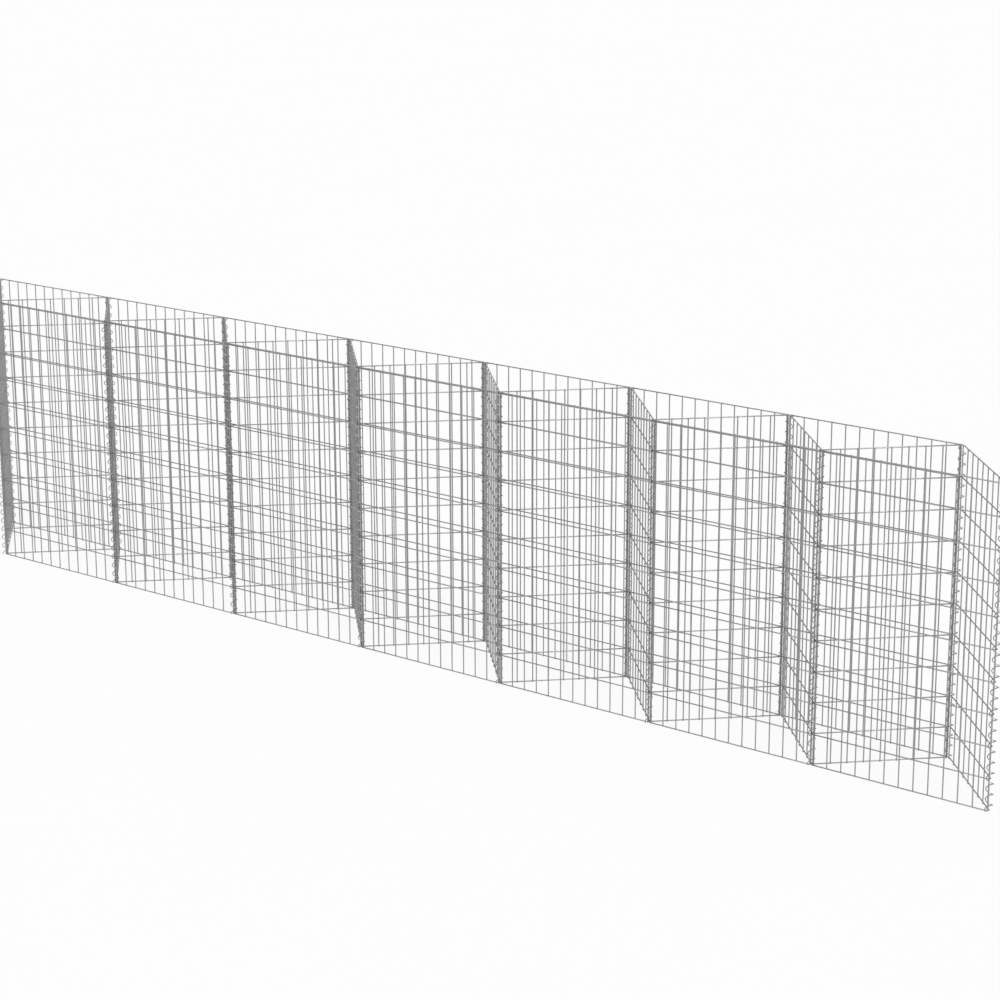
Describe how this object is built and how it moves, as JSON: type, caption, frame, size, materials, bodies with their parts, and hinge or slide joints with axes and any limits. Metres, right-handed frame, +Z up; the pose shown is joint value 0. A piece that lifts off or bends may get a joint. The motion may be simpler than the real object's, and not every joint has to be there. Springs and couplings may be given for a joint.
{
  "type": "gabion basket",
  "caption": "Long empty gabion basket of welded wire mesh with a zigzag of mesh panels inside, its panel edges laced by wire spirals, to be filled with stones.",
  "frame": {"origin": "on the ground under the middle of the basket", "axes": "+X along the basket to the right as seen from the front, +Y from front to back, +Z up"},
  "size_m": [4.5934, 0.336, 1.0035],
  "materials": {
    "mesh_wire": "dull hot-dip galvanised",
    "spiral_wire": "dull hot-dip galvanised"
  },
  "bodies": {
    "root": {"front_panel_1": "mesh_wire", "front_panel_2": "mesh_wire", "front_panel_3": "mesh_wire", "front_panel_4": "mesh_wire", "front_panel_5": "mesh_wire", "front_panel_6": "mesh_wire", "front_panel_7": "mesh_wire", "back_panel_1": "mesh_wire", "back_panel_2": "mesh_wire", "back_panel_3": "mesh_wire", "back_panel_4": "mesh_wire", "back_panel_5": "mesh_wire", "back_panel_6": "mesh_wire", "back_panel_7": "mesh_wire", "left_end_panel": "mesh_wire", "brace_panel_01": "mesh_wire", "brace_panel_02": "mesh_wire", "brace_panel_03": "mesh_wire", "brace_panel_04": "mesh_wire", "brace_panel_05": "mesh_wire", "brace_panel_06": "mesh_wire", "brace_panel_07": "mesh_wire", "brace_panel_08": "mesh_wire", "brace_panel_09": "mesh_wire", "brace_panel_10": "mesh_wire", "brace_panel_11": "mesh_wire", "brace_panel_12": "mesh_wire", "brace_panel_13": "mesh_wire", "right_end_panel": "mesh_wire", "front_spiral_1": "spiral_wire", "front_spiral_2": "spiral_wire", "front_spiral_3": "spiral_wire", "front_spiral_4": "spiral_wire", "front_spiral_5": "spiral_wire", "front_spiral_6": "spiral_wire", "front_spiral_7": "spiral_wire", "front_spiral_8": "spiral_wire", "back_spiral_1": "spiral_wire", "back_spiral_2": "spiral_wire", "back_spiral_3": "spiral_wire", "back_spiral_4": "spiral_wire", "back_spiral_5": "spiral_wire", "back_spiral_6": "spiral_wire", "back_spiral_7": "spiral_wire", "back_spiral_8": "spiral_wire"}
  },
  "joints": []
}
